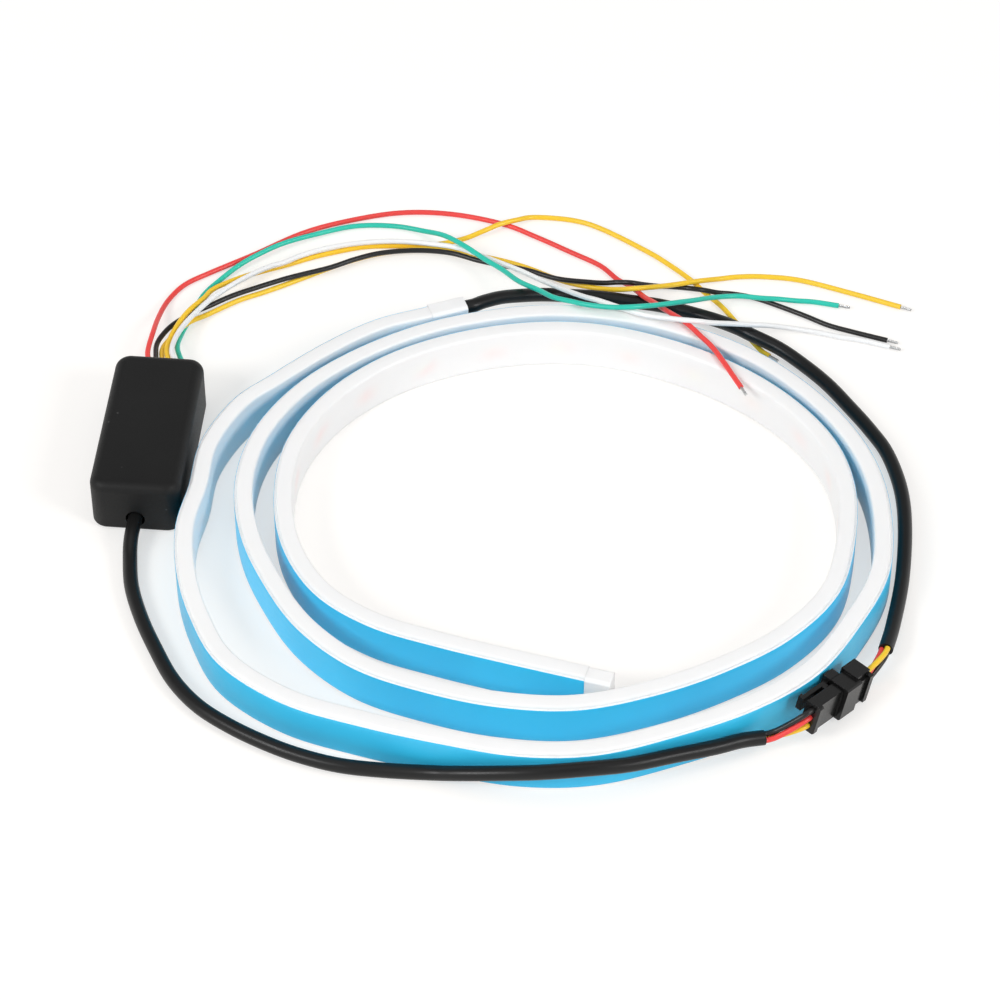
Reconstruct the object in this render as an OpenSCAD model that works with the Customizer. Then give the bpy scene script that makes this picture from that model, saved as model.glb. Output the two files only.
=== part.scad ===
// Flexible trunk light strip with its controller, cables, plug pair and bare leads.
// Frame: X to the right, Y away from the viewer, Z up. The surface that it stands on is Z = 0.
// The strip stands on its narrow edge in two and a half turns, with the liner facing out.

/* [Light strip] */
// Width of the strip, which is its height as it stands on edge
strip_w = 12; // [10:0.5:16]
// Thickness of the silicone sleeve alone
sleeve_t = 4.2; // [3.8:0.1:5]
// Thickness of the foam mounting tape
tape_t = 0.5; // [0.3:0.1:0.8]
// Thickness of the release liner on the tape
liner_t = 0.2; // [0.1:0.05:0.3]
// Wall of the sleeve behind the flexible board
back_wall = 0.7; // [0.5:0.1:0.9]
// Wall of the sleeve in front of the light sources
light_wall = 0.9; // [0.6:0.1:1]
// Wall of the sleeve at its two narrow edges
edge_wall = 1.4; // [1:0.1:1.8]
// Bevel along the long outer edges of the sleeve
edge_bevel = 0.7; // [0.3:0.1:0.9]
// Bare margin of the sleeve above the tape
tape_margin = 0.8; // [0.7:0.1:1.5]
// Height of the tape's lower edge above the strip's edge
tape_low = 0.4; // [0.3:0.1:1.5]

/* [Board in the strip] */
// Width of the flexible circuit board
board_w = 8; // [6:0.5:9]
// Thickness of the flexible circuit board
board_t = 0.3; // [0.2:0.05:0.4]
// Length of a light source along the strip
led_l = 3.5; // [2.8:0.1:4]
// Width of a light source across the strip
led_w = 2.8; // [2:0.1:4]
// Height of a light source
led_h = 1.2; // [0.8:0.1:1.4]
// Length of a driver chip along the strip
chip_l = 3; // [2:0.1:4]
// Width of a driver chip across the strip
chip_w = 3; // [2:0.1:5]
// Height of a driver chip
chip_h = 1; // [0.6:0.1:1.4]

/* [Strip ends] */
// Length of the cap where the cable enters
cap_l = 10; // [8:0.5:14]
// How far the cable cap stands proud of the liner
cap_step = 0.4; // [0.2:0.1:0.8]
// Depth of the cable's bore in the cap
cap_bore_l = 3; // [2:0.5:5]
// Height of the cable's bore in the cap
cap_bore_z = 9.5; // [6:0.1:9.5]
// How far a cap's plug reaches into the sleeve
plug_in_l = 3.5; // [2:0.5:4]
// Length of the bare cap at the tail
tail_l = 6.5; // [5:0.5:8]

/* [Controller] */
// Length of the controller box
box_l = 49; // [44:1:60]
// Width of the controller box
box_w = 23; // [21:0.5:26]
// Height of the controller box
box_h = 15.4; // [13:0.2:20]
// Rounding of the box's upright corners
box_r = 4; // [3:0.5:6]
// Rounding of the box's top and bottom edges
box_edge_r = 2.6; // [1.5:0.1:3]
// Wall of the box
box_wall = 1.8; // [1.4:0.1:2.2]
// Thickness of the bottom plate
plate_t = 1.5; // [1:0.1:1.6]
// Height of the ribs that carry the board
rib_h = 1.9; // [1:0.1:2.5]
// Thickness of the controller's board
pcb_t = 1.6; // [1:0.2:2]
// Height of the front hole's centre
hole_z = 4.2; // [4:0.1:5]

/* [Cables and leads] */
// Diameter of the two sheathed cables
cable_d = 3.7; // [3.5:0.1:4]
// Diameter of a bare lead with its insulation
lead_d = 1.4; // [1.2:0.1:1.5]
// Diameter of a core between a sheath and the plug pair
core_d = 1.4; // [1.2:0.1:1.5]
// Diameter of a stripped and tinned lead end
tip_d = 0.8; // [0.5:0.1:1]
// Length of a stripped lead end
tip_l = 3; // [2:0.5:6]

/* [Plug pair] */
// Length of the plug body that shows
plug_l = 10; // [8:0.2:12]
// Thickness of the plug body
plug_t = 4.4; // [4.2:0.1:4.8]
// Depth of the finger recess on the plug body's outer side
grip_in = 0.8; // [0.4:0.1:0.9]
// Height of the plug body across its row of contacts
plug_h = 8.4; // [8:0.1:8.8]
// Length of the plug's nose inside the shroud
nose_l = 4.8; // [4:0.1:5]
// Thickness of the nose
nose_t = 3.4; // [3.2:0.1:3.6]
// Height of the nose
nose_h = 7.6; // [7.2:0.1:7.8]
// Length of the shroud
shroud_l = 6; // [5.6:0.1:7]
// Thickness of the shroud
shroud_t = 5.8; // [5.6:0.1:6.2]
// Height of the shroud
shroud_h = 9.6; // [9.4:0.1:10.4]
// Length of the receptacle behind the shroud
tail_block_l = 4.8; // [4.2:0.1:5.4]
// Thickness of the grip flange at the receptacle's end
flange_t = 1.5; // [1:0.1:2]
// Distance between neighbouring contacts
pitch = 2.5; // [2.2:0.1:2.8]
// Diameter of a male contact pin
pin_d = 0.7; // [0.5:0.05:0.9]
// Diameter of a female contact
socket_d = 1.5; // [1.3:0.05:1.6]
// Thickness of the latch lever
lever_t = 1.1; // [0.8:0.1:1.4]
// Width of the latch lever
lever_w = 3.8; // [3:0.1:4.2]

/* [Hidden] */

// Small gap between pieces that fit one in the other
fit = 0.1;
// Overshoot of a cut past the face that it opens
past = 1;
// Samples between two route points of the strip and of a cord
strip_samples = 3;
cord_samples = 2;
// Corners round the section of a cable, and of a lead or core
cable_sides = 8;
lead_sides = 6;

// Middle line of the strip from the cable cap to the tail, counter-clockwise seen from above
strip_way = [[-18.5, 58.2], [-32, 53.1], [-45, 44.1], [-58, 32.5], [-67, 23.5], [-74, 9], [-76, -6],
  [-78.5, -20], [-77.5, -35], [-73.5, -50], [-66, -65], [-51, -77], [-33, -84], [-14, -89.5], [5, -93.5],
  [23, -93], [42, -87], [60, -79], [75, -68], [86, -52], [93.5, -36], [95.5, -19], [94, -2], [88.5, 13.5],
  [79, 28], [66, 41], [50, 50.5], [33, 56.5], [14, 58.8], [-4, 56.5], [-21, 51], [-38, 41], [-51.5, 28.5],
  [-61, 12.5], [-64.5, -5], [-62.5, -22], [-56.5, -38], [-47.5, -53.5], [-34, -66], [-17, -73.5], [0, -78],
  [18, -79], [36, -74.5], [53, -67], [69, -56.5], [81, -42], [86, -24], [87, -6], [83, 10], [73, 25],
  [59.5, 37], [43, 46], [25, 51.5], [7, 52], [-12, 47.8], [-29, 39.5], [-43, 26.5], [-52, 10], [-54.5, -8],
  [-52, -26], [-44, -41.5], [-31, -52], [-15, -58.5], [2, -64], [20.8, -69.7]];

// Routes of the six leads, from inside the controller to the stripped ends
way_red = [[-91.3, 32, 5.8], [-90.9, 38, 5.8], [-91.2, 43, 5.8], [-92.4, 49, 5.4], [-91.5, 58, 4.6],
  [-90.5, 67, 2.2], [-88.5, 74.5, 0.85], [-84.5, 80.5, 0.75], [-77.5, 85.5, 0.75], [-66.5, 92.5, 0.75],
  [-54, 101, 0.75], [-42, 106, 0.75], [-27.5, 109.5, 0.75], [-13.5, 109, 0.75], [0.5, 105, 0.75],
  [10, 99.5, 0.75], [19, 93.5, 0.75], [27, 88, 0.75], [31.5, 82.5, 0.8], [34.5, 79.5, 1.4],
  [36.5, 74.5, 3.8], [38.5, 70, 5.7], [41, 65.5, 7.8], [43, 61, 9.9], [45, 57, 11.8], [47.5, 53.5, 12.9],
  [49.5, 51, 13.1], [52, 47.5, 13], [56, 41.5, 12.85], [62, 28, 12.8]];
way_green = [[-83.3, 31.3, 5.8], [-82.8, 37.5, 5.8], [-82.3, 43, 4.6], [-85, 53.5, 2.4],
  [-84.5, 60.5, 0.9], [-82.5, 67, 0.75], [-79.5, 76, 0.75], [-75, 82.5, 0.8], [-70, 87.5, 1.6],
  [-64.5, 91.5, 2.2], [-58.5, 95.5, 2.2], [-50, 100, 1.4], [-39.5, 104, 0.8], [-29, 104, 0.8],
  [-20.5, 101, 1.6], [-15, 96.5, 4], [-9.5, 90.5, 5.6], [-4, 85, 5.7], [0.5, 80.5, 6.2], [5, 74, 7.8],
  [10, 68.5, 9.8], [14, 63.5, 11.7], [18.5, 60.5, 13], [23, 58, 14], [28.5, 56.5, 14.6], [32.5, 56, 15],
  [37, 57, 14.4], [42, 60, 12.2], [46.5, 62.5, 10.7], [51, 66, 8.2], [55.5, 70, 5.4], [60, 73, 3.2],
  [64.5, 74, 2.4], [70, 73, 2.6], [74, 73, 2.3], [79, 73.5, 1.2], [84, 73.5, 0.75], [90.5, 72, 0.75]];
way_white = [[-84.9, 31.4, 5.8], [-84.4, 37.7, 5.8], [-84.3, 43, 6], [-86, 48.5, 5.9], [-85.5, 54.5, 5.2],
  [-83.5, 60.5, 4.6], [-80.5, 66, 4.2], [-76, 72.5, 3.8], [-70, 78.5, 3.7], [-63, 84.5, 3],
  [-58, 87.5, 2.4], [-53.5, 90.5, 2.2], [-46, 93.5, 2.3], [-37, 95.5, 2.3], [-27.5, 95.5, 2.8],
  [-18, 93.5, 3.6], [-11, 91.5, 3.9], [-4, 88, 3.8], [5, 83, 3.7], [10.5, 78.5, 4.4], [15, 73, 6.8],
  [19, 68.5, 8.8], [22.5, 64.5, 10.8], [26, 61.5, 12.3], [29.5, 59, 13], [34.5, 56.5, 13.1],
  [39, 54.5, 13.3], [43, 53, 14], [47.5, 51.5, 14.7], [51.5, 51.5, 14.2], [55.5, 53, 12.2],
  [60.5, 55.5, 9.6], [65.5, 57.5, 7.4], [71, 59.5, 5.2], [77, 61, 2.8], [83.5, 61.5, 1], [89.5, 60, 0.75],
  [96, 58.5, 0.75], [103, 56, 0.75]];
way_black = [[-89.7, 31.9, 5.8], [-89.2, 38.1, 5.8], [-89.8, 44, 5], [-90.4, 50, 3.9], [-90.5, 54, 3.2],
  [-89.5, 57.5, 3], [-87, 62, 2.8], [-82.5, 67, 2.3], [-77.5, 70.5, 2.1], [-72, 74, 2.3], [-66, 77, 2.4],
  [-56.5, 81.5, 2.3], [-46, 85.5, 2.2], [-39, 89, 2.2], [-32, 91.5, 2.2], [-22.5, 92.5, 2.2],
  [-13.5, 91.5, 2.2], [-6, 88.5, 2.2], [0.5, 86.5, 2.2], [7.5, 84.5, 2.2], [15.5, 81, 2.3],
  [24, 79.5, 2.45], [28, 79, 2.6], [31.5, 78.5, 3.3], [35, 77.5, 4.1], [38.5, 78.5, 2.5], [42.5, 79.5, 1],
  [46.5, 79.5, 0.75], [51, 78.5, 1.1], [54.5, 76.5, 2.3], [58.5, 76, 1.8], [63, 76.5, 0.8],
  [69.5, 74.5, 0.75], [80.5, 68.5, 0.75], [87, 64.5, 0.75], [93, 62, 0.75], [102.5, 58.5, 0.75]];
way_yellow_left = [[-86.5, 31.6, 5.8], [-86, 37.8, 5.8], [-86.2, 43, 5.6], [-87.5, 50, 4.9],
  [-87, 55, 4.4], [-85, 61.5, 4.2], [-82.5, 67, 3.8], [-79, 72.5, 3.1], [-76.5, 77, 2.4], [-70, 81.5, 2.1],
  [-63, 85.5, 1.3], [-58, 88, 0.8], [-51.5, 91, 0.75], [-46, 93, 0.75], [-37, 95.5, 0.75],
  [-27.5, 96, 0.75], [-17.5, 96.5, 0.75], [-10, 98.5, 1], [-4.5, 100.5, 2.1], [0, 103, 2.4],
  [4.5, 105, 2.1], [9.5, 107.5, 0.9], [19.5, 106.5, 0.75], [27.5, 103, 0.75], [39.5, 94, 0.75],
  [45.5, 88.5, 0.75], [51.5, 82, 0.75], [55, 77, 0.75], [59, 72, 0.75], [62.5, 66, 0.75], [66, 59.5, 0.75],
  [69, 54.5, 0.75], [71, 52.5, 0.75]];
way_yellow_right = [[-88.1, 31.7, 5.8], [-87.6, 38, 5.8], [-87.9, 43, 4.8], [-89, 52, 2.8],
  [-87.5, 57, 2.2], [-84.5, 61.5, 2.3], [-82, 64.5, 2.1], [-78, 68, 1.2], [-70, 74, 0.8],
  [-63, 77.5, 0.75], [-56.5, 81, 0.75], [-46, 87, 0.75], [-39, 90.5, 0.75], [-32, 93, 0.75],
  [-23, 94.5, 0.75], [-16.5, 94.5, 0.75], [-8, 92.5, 0.75], [0.5, 90, 0.75], [7.5, 87, 0.75],
  [15.5, 82.5, 0.75], [21.5, 80, 0.85], [27, 78, 1.5], [31.5, 75, 3.9], [36, 73, 6.1], [41.5, 75.5, 4.4],
  [47, 78.5, 2.5], [52, 79.5, 2.6], [55, 80.5, 2.2], [59, 82.5, 0.9], [64.5, 83.5, 0.75],
  [71.5, 83.5, 0.75], [81, 82, 0.75], [94, 77, 0.75], [107, 71.5, 0.75]];

// Routes of the two sheathed cables
way_cable_controller = [[-92.5, -17, 3.8], [-92.5, -22.5, 2.4],
  [-91.5, -32, 1.95], [-88.5, -42.5, 1.95], [-84.5, -52.5, 1.95], [-79.5, -63, 1.95], [-73, -71.5, 1.95],
  [-65, -78, 1.95], [-56, -83.5, 1.95], [-47.5, -87.5, 1.95], [-38, -90.5, 1.95], [-27.5, -92, 1.95],
  [-16.5, -93.5, 2.8], [-9.5, -95.5, 4.9], [0, -97.5, 7.3], [9.5, -98.5, 8.8], [20, -98, 9.4],
  [30.5, -96, 8.7], [41.5, -92, 7.4], [51, -88.5, 6.2], [57.5, -85.5, 5.2], [63, -84, 4.6]];
way_cable_strip = [[-4, 64.8, 9], [0.5, 67.9, 7.6], [6, 71, 5.4],
  [12, 73.5, 3.4], [19, 74.5, 2.1], [26.5, 74, 1.95], [34.5, 72.5, 1.95], [42, 71, 1.95], [48, 69, 1.95],
  [57, 64.5, 2.6], [62.5, 60.5, 3.5], [66.5, 57.5, 3.6], [73.5, 53.5, 2.6], [79.5, 48, 1.95],
  [85.5, 40.5, 1.95], [91, 31.5, 1.95], [95.5, 23.5, 1.95], [99.5, 14.5, 1.95], [102, 1.5, 1.95],
  [102, -12.5, 1.95], [100, -30, 2.2], [96.5, -46.5, 3.5], [94, -55.5, 4.5]];

// Moves all routes and places, so that the origin lies under the middle of strip and controller
shift = [2.5, 15.94];
// Where the controller stands, and how far it is turned
box_at = [-89.7, 13.6];
box_turn = -5;
// Where the plug pair stands, how far it is turned, and how far it leans sideways and along its length
conn_at = [80.3, -73.6];
conn_turn = 49;
conn_roll = 4;
conn_pitch = 12;

// Thickness of sleeve, tape and liner together
strip_t = sleeve_t + tape_t + liner_t;
inner_face = -strip_t / 2;
sleeve_out = inner_face + sleeve_t;
tape_out = sleeve_out + tape_t;
liner_out = tape_out + liner_t;
cavity_in = inner_face + light_wall;
cavity_out = sleeve_out - back_wall;
board_in = cavity_out - fit - board_t;
strip_mid_z = strip_w / 2;

function last(v) = v[len(v) - 1];
function unit(v) = v / norm(v);

// One point of the smooth curve between b and c
function curve_point(a, b, c, d, t) =
  (2 * b + (c - a) * t + (2 * a - 5 * b + 4 * c - d) * t * t + (3 * b - a - 3 * c + d) * t * t * t) / 2;

// Smooth curve through all points, with n samples for each gap
function smooth(p, n) = let (q = concat([2 * p[0] - p[1]], p, [2 * last(p) - p[len(p) - 2]]))
  concat([for (i = [1 : len(p) - 1], k = [0 : n - 1])
    curve_point(q[i - 1], q[i], q[i + 1], q[i + 2], k / n)],
    [last(p)]);

// Direction of a path at sample i
function heading(p, i) = unit(p[min(i + 1, len(p) - 1)] - p[max(i - 1, 0)]);

// Route after the shift
function placed(way) = [for (p = way) [p[0] + shift[0], p[1] + shift[1], p[2]]];

strip_path = smooth([for (p = strip_way) p + shift], strip_samples);
strip_end = len(strip_path) - 1;

// Outward side of the strip at sample i
function outward(i) = let (h = heading(strip_path, i)) [h[1], -h[0]];
function beside(i, off) = strip_path[i] + outward(i) * off;

// Closed solid through a list of rings with equal numbers of points
module loft(rings, closed = false) {
  m = len(rings);
  n = len(rings[0]);
  sides = [for (i = [0 : closed ? m - 1 : m - 2], j = [0 : n - 1])
    let (a = i * n + j, b = i * n + (j + 1) % n,
       c = ((i + 1) % m) * n + (j + 1) % n, d = ((i + 1) % m) * n + j)
    each [[a, b, c], [a, c, d]]];
  first_cap = [for (j = [n - 1 : -1 : 0]) j];
  last_cap = [for (j = [0 : n - 1]) (m - 1) * n + j];
  polyhedron([for (r = rings) each r], closed ? sides : concat(sides, [first_cap, last_cap]));
}

// Upright band that follows the strip between two offsets
module strip_band(off_a, off_b, z0, z1, from, to) {
  outline = concat([for (i = [from : to]) beside(i, off_a)], [for (i = [to : -1 : from]) beside(i, off_b)]);
  translate([0, 0, z0]) linear_extrude(z1 - z0) polygon(outline);
}

// Ring of a section given as [offset, height] points, at sample i of the strip
function strip_ring(i, section) = [for (s = section) let (p = beside(i, s[0])) [p[0], p[1], s[1]]];

// Eight corners of a bevelled oblong, from low to high offset and height
function bevelled(a, b, lo, hi, c) =
  [[a + c, lo], [a, lo + c], [a, hi - c], [a + c, hi], [b - c, hi], [b, hi - c], [b, lo + c], [b - c, lo]];

// Places its children at a sample of the strip, with X along the strip and Y inward
module at_strip(p, h) {
  translate([p[0], p[1], 0]) rotate([0, 0, atan2(h[1], h[0])]) children();
}

// Prism along X with a section given in Y and Z
module along_x(len_x) {
  rotate([90, 0, 90]) linear_extrude(len_x) children();
}

// Oblong section with bevelled corners
module bevelled_section(y0, y1, z0, z1, c) {
  polygon(bevelled(y0, y1, z0, z1, c));
}

module strip_sleeve() {
  outer = bevelled(inner_face, sleeve_out, 0, strip_w, edge_bevel);
  cavity = bevelled(cavity_in, cavity_out, edge_wall, strip_w - edge_wall, edge_bevel / 2);
  color("white") loft(concat([for (i = [strip_end : -1 : 0]) strip_ring(i, outer)],
    [for (i = [0 : strip_end]) strip_ring(i, cavity)]), true);
}

module strip_board() {
  color("gold") strip_band(board_in, board_in + board_t,
    strip_mid_z - board_w / 2, strip_mid_z + board_w / 2,
    1, strip_end - 1);
}

// Flat-topped piece on the board's inner face, in the middle of the stretch after sample i
module on_board(i, size_l, size_w, size_h) {
  a = beside(i, board_in);
  b = beside(i + 1, board_in);
  at_strip((a + b) / 2, unit(b - a))
    translate([-size_l / 2, 0, strip_mid_z - size_w / 2]) cube([size_l, size_h, size_w]);
}

module strip_lights() {
  color("lightyellow") for (i = [1 : strip_samples : strip_end - 2]) on_board(i, led_l, led_w, led_h);
}

module strip_driver_chips() {
  color("dimgray") for (i = [2 : 3 * strip_samples : strip_end - 2]) on_board(i, chip_l, chip_w, chip_h);
}

module strip_resistors() {
  color("black") for (i = [3 : 3 * strip_samples : strip_end - 2])
    on_board(i, resistor_l, resistor_w, resistor_h);
}

module foam_tape() {
  color("whitesmoke") strip_band(sleeve_out, tape_out, tape_low, strip_w - tape_margin, 0, strip_end);
}

module release_liner() {
  color("deepskyblue") strip_band(tape_out, liner_out, tape_low, strip_w - tape_margin, 0, strip_end);
}

// Plug that fits the sleeve's cavity, from X = 0 to its length
module cavity_plug() {
  along_x(plug_in_l) bevelled_section(-cavity_out + fit, -cavity_in - fit,
    edge_wall + fit, strip_w - edge_wall - fit, edge_bevel / 2);
}

// Point on the axis of the cable cap's bore, x from the strip's end
function cap_point(x, z) = let (p = strip_path[0] + unit(strip_path[1] - strip_path[0]) * x
  + outward(0) * cap_bore_shift) [p[0], p[1], z];

// The strip's cable starts at the bottom of that bore
function cable_strip_way() = concat(
  [for (x = [cap_bore_l, -0.6, -2.6]) cap_point(x - cap_l, cap_bore_z)], placed(way_cable_strip));

module cable_end_cap() {
  color("white") at_strip(strip_path[0], unit(strip_path[1] - strip_path[0])) union() {
    difference() {
      translate([-cap_l, 0, 0]) along_x(cap_l)
        bevelled_section(-liner_out - cap_step, -inner_face, 0, strip_w, edge_bevel);
      translate([-cap_l - past, -cap_bore_shift, cap_bore_z]) rotate([0, 90, 0])
        cylinder(h = cap_bore_l + past, d = cable_d + 2 * fit, $fn = 32);
    }
    cavity_plug();
  }
}

module tail_end_cap() {
  color("white") at_strip(last(strip_path), unit(strip_path[strip_end - 1] - last(strip_path))) union() {
    translate([-tail_l, 0, 0]) along_x(tail_l)
      bevelled_section(inner_face, liner_out, 0, strip_w, edge_bevel);
    mirror([0, 1, 0]) cavity_plug();
  }
}

// Gap between the cap bore's axis and the strip's middle line, on the liner's side
cap_bore_shift = 0.5;
// Chip resistor on the strip's board
resistor_l = 2;
resistor_w = 1.3;
resistor_h = 0.5;

// Sizes inside the controller
lead_z = 5.8;
slot_gap = 0.15;
lead_step = 1.6;
lead_mid = 0.8;
// How far the controller's cable reaches in
cable_in_l = 6;
slot_w = 6 * lead_step + 2 * slot_gap;
pcb_top = plate_t + rib_h + pcb_t;
room_l = box_l - 2 * box_wall;
room_w = box_w - 2 * box_wall;
pcb_l = room_l - 10;
pcb_w = room_w - 2;
pcb_back = room_l / 2 - 1.5;
pcb_front = pcb_back - pcb_l;
room_r = box_r - box_wall;

module in_box() {
  translate([box_at[0] + shift[0], box_at[1] + shift[1], 0]) rotate([0, 0, box_turn]) children();
}

// Point in the controller's frame
function box_point(x, y, z) = placed([[box_at[0] + x * cos(box_turn) - y * sin(box_turn),
  box_at[1] + x * sin(box_turn) + y * cos(box_turn), z]])[0];

// The controller's cable starts inside its front hole
function cable_controller_way() = concat([for (y = [cable_in_l, 0]) box_point(0, y - box_l / 2, hole_z)],
  placed(way_cable_controller));

// Ring of an oblong with round corners, drawn in by inset, at height z
function round_ring(l, w, r, inset, z, n = 6) =
  let (rr = max(r - inset, 0.3), x = w / 2 - inset - rr, y = l / 2 - inset - rr)
  [for (q = [0 : 3], k = [0 : n]) let (a = q * 90 + k * 90 / n,
    sx = (q == 0 || q == 3) ? 1 : -1, sy = (q < 2) ? 1 : -1)
    [sx * x + rr * cos(a), sy * y + rr * sin(a), z]];

module controller_cover() {
  steps = 5;
  top_rings = [for (k = [0 : steps]) let (a = 90 - k * 90 / steps)
    round_ring(box_l, box_w, box_r, box_edge_r * (1 - cos(a)), box_h - box_edge_r * (1 - sin(a)))];
  foot_rings = [for (k = [0 : 3]) let (a = k * 30)
    round_ring(box_l, box_w, box_r, foot_r * (1 - cos(a)), foot_r * (1 - sin(a)))];
  room_rings = [round_ring(room_l, room_w, room_r, 0, 0),
    round_ring(room_l, room_w, room_r, 0, box_h - box_wall - 1),
    round_ring(room_l, room_w, room_r, 1, box_h - box_wall)];
  color([0.13, 0.13, 0.14]) in_box() difference() {
    loft(concat(top_rings, foot_rings, room_rings));
    translate([0, -box_l / 2 - past, hole_z]) rotate([-90, 0, 0])
      cylinder(h = box_wall + 2 * past, d = cable_d + 1.2, $fn = 32);
    translate([lead_mid - slot_w / 2, box_l / 2 - box_wall - past, lead_z - lead_d / 2 - slot_gap])
      cube([slot_w, box_wall + 2 * past, lead_d + 2 * slot_gap]);
  }
}
// Small rounding at the foot of the cover
foot_r = 1.2;

module controller_plate() {
  color([0.1, 0.1, 0.11]) in_box() union() {
    loft([round_ring(room_l, room_w, room_r, fit, plate_t), round_ring(room_l, room_w, room_r, fit, 0)]);
    for (s = [-1, 1]) translate([s * (pcb_w / 2 - 2) - 1, pcb_front + 1, plate_t])
      cube([2, pcb_l - 2, rib_h]);
  }
}

module controller_board() {
  color("darkgreen") in_box() translate([-pcb_w / 2, pcb_front, plate_t + rib_h])
    cube([pcb_w, pcb_l, pcb_t]);
}

// Block on the controller's board, given its size and its middle, with y from the board's front end
module on_pcb(x, y, size) {
  translate([x - size[0] / 2, pcb_front + y - size[1] / 2, pcb_top]) cube(size);
}

module controller_processor() {
  color("black") in_box() on_pcb(-1, 16.2, [5, 6.5, 1.6]);
}

module controller_switches() {
  color("dimgray") in_box() for (x = [-5, 0, 5]) on_pcb(x, 5.2, [3.2, 3, 1.2]);
}

module controller_regulator() {
  color("black") in_box() on_pcb(pcb_w / 2 - 3.5, 19.2, [3.8, 5, 1.7]);
}

module controller_capacitor() {
  color("silver") in_box() translate([3.1 - pcb_w / 2, pcb_front + 22.8, pcb_top])
    cylinder(h = 5.6, d = 5, $fn = 48);
}

module controller_resistors() {
  color("black") in_box() for (k = [0 : 5]) on_pcb(-6 + 2.4 * k, 10.6, [1.2, 2, 0.5]);
}

// Level frame across a path at sample i
function ring_at(p, i, r, n) = let (h = heading(p, i), u = unit([h[1], -h[0], 0]), v = cross(u, h))
  [for (k = [0 : n - 1]) let (a = 360 * k / n) p[i] + r * cos(a) * u + r * sin(a) * v];

module cord(way, d, samples = cord_samples, sides = lead_sides) {
  p = smooth(way, samples);
  loft([for (i = [0 : len(p) - 1]) ring_at(p, i, d / 2, sides)]);
}

// Bare end that goes on from the last point of a lead
module lead_tip(way) {
  p = smooth(way, cord_samples);
  h = heading(p, len(p) - 1);
  e = last(p);
  translate(e) rotate([0, acos(h[2]), atan2(h[1], h[0])]) cylinder(h = tip_l, d = tip_d, $fn = 24);
}

module lead_red() { color("red") cord(placed(way_red), lead_d); }
module lead_green() { color("mediumaquamarine") cord(placed(way_green), lead_d); }
module lead_white() { color("white") cord(placed(way_white), lead_d); }
module lead_black() { color("black") cord(placed(way_black), lead_d); }
module lead_yellow_left() { color("gold") cord(placed(way_yellow_left), lead_d); }
module lead_yellow_right() { color("gold") cord(placed(way_yellow_right), lead_d); }
module tip_red() { color("silver") lead_tip(placed(way_red)); }
module tip_green() { color("silver") lead_tip(placed(way_green)); }
module tip_white() { color("silver") lead_tip(placed(way_white)); }
module tip_black() { color("silver") lead_tip(placed(way_black)); }
module tip_yellow_left() { color("silver") lead_tip(placed(way_yellow_left)); }
module tip_yellow_right() { color("silver") lead_tip(placed(way_yellow_right)); }
module cable_controller() { color("black") cord(cable_controller_way(), cable_d, sides = cable_sides); }
module cable_strip() { color("black") cord(cable_strip_way(), cable_d, sides = cable_sides); }

// Stations along the plug pair
cavity_d = socket_d + 2 * fit;
contact_back = -plug_l + 3.5;
contact_front = nose_l - 0.6;
pin_front = contact_front - 3.2;
pin_back = shroud_l + 1;
conn_back = shroud_l + tail_block_l;
web_front = nose_l + 0.3;
flange_h = plug_h - 0.1;
flange_low = -plug_h / 2 + 0.3;
lever_y = shroud_t / 2 + fit;
lever_back = 0;
lever_z = 1.9;
lever_low = lever_z - lever_w / 2;
rim_t = 0.8;

// Frame of the plug pair: X from the plug to the receptacle, Y towards the strip, Z up the row
conn_lift = max(shroud_l * sin(conn_pitch) + shroud_h / 2 * cos(conn_pitch),
  conn_back * sin(conn_pitch) - flange_low * cos(conn_pitch))
  + shroud_t / 2 * sin(conn_roll);
module in_conn() {
  translate([conn_at[0] + shift[0], conn_at[1] + shift[1], conn_lift])
    rotate([0, 0, conn_turn]) rotate([conn_roll, conn_pitch, 0]) children();
}
function conn_point(x, y, z) = let (yr = y * cos(conn_roll) - z * sin(conn_roll),
  z1 = y * sin(conn_roll) + z * cos(conn_roll), xr = x * cos(conn_pitch) + z1 * sin(conn_pitch),
  zr = z1 * cos(conn_pitch) - x * sin(conn_pitch))
  placed([[conn_at[0] + xr * cos(conn_turn) - yr * sin(conn_turn),
    conn_at[1] + xr * sin(conn_turn) + yr * cos(conn_turn), conn_lift + zr]])[0];

// Three round passages along the plug pair
module row_of_bores(x0, x1, d) {
  for (k = [-1 : 1]) translate([x0, 0, k * pitch]) rotate([0, 90, 0])
    cylinder(h = x1 - x0, d = d, $fn = 24);
}

// Block in the plug pair's frame, from corner to corner
module block(x0, x1, y0, y1, z0, z1) {
  translate([x0, y0, z0]) cube([x1 - x0, y1 - y0, z1 - z0]);
}

module plug_housing() {
  color([0.1, 0.1, 0.1]) in_conn() difference() {
    union() {
      translate([-plug_l, 0, 0]) along_x(plug_l)
        bevelled_section(-plug_t / 2, plug_t / 2, -plug_h / 2, plug_h / 2, 0.4);
      along_x(nose_l) bevelled_section(-nose_t / 2, nose_t / 2, -nose_h / 2, nose_h / 2, 0.3);
      block(-2.6, -0.9, plug_t / 2 - 0.2, lever_y + lever_t, lever_low, lever_low + lever_w);
      block(-plug_l - lever_back, 3.4, lever_y, lever_y + lever_t, lever_low, lever_low + lever_w);
      block(-plug_l - lever_back, -plug_l - lever_back + 1.2,
        lever_y, lever_y + lever_t + 0.5, lever_low, lever_low + lever_w);
    }
    row_of_bores(-plug_l - past, nose_l + past, cavity_d);
    block(-plug_l + flange_t, 0, -plug_t / 2 - past, -plug_t / 2 + grip_in,
      -plug_h / 2 - past, plug_h / 2 + past);
  }
}

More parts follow.
